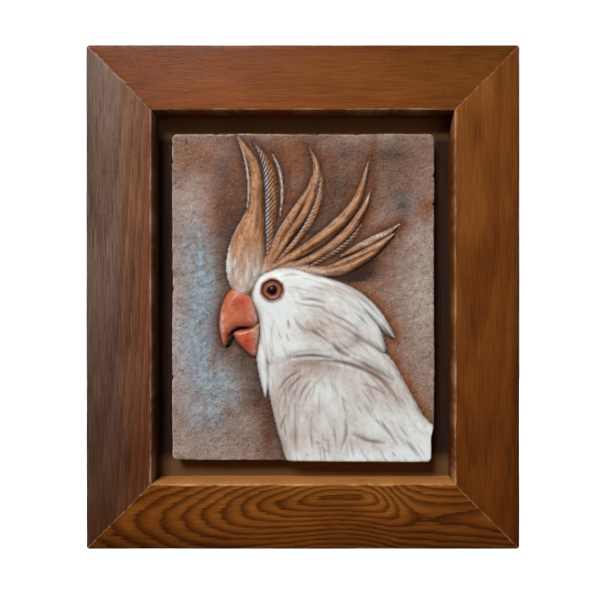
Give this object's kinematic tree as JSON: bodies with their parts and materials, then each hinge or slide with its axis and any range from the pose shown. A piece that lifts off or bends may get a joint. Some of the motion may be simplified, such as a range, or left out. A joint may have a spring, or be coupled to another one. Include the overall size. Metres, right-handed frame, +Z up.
{
  "type": "framed ceramic relief wall plaque",
  "caption": "Wall plaque: a glazed clay slab with a crested cockatoo in relief, on a dark board inside a deep mitred frame of stained pine.",
  "frame": {"origin": "the middle of the top rail's back face, where the plaque bears on the wall", "axes": "+Y out of the plaque's back into the wall, so the relief faces -Y; +Z up along the rails of the two sides; +X to the right as the plaque is looked at"},
  "size_m": [0.3, 0.038, 0.349],
  "materials": {
    "rail_top_pine": "stained pine, satin varnish",
    "rail_right_pine": "stained pine, satin varnish",
    "rail_bottom_pine": "stained pine, flat sawn, satin varnish",
    "rail_left_pine": "stained pine, satin varnish",
    "dark_board": "dark stained board, matte",
    "glazed_clay": "fired grogged clay, oxide washed ground, white and coloured glazes"
  },
  "bodies": {
    "root": {"rail_top": "rail_top_pine", "rail_right": "rail_right_pine", "rail_bottom": "rail_bottom_pine", "rail_left": "rail_left_pine", "back_board": "dark_board", "relief_slab": "glazed_clay"}
  },
  "joints": []
}
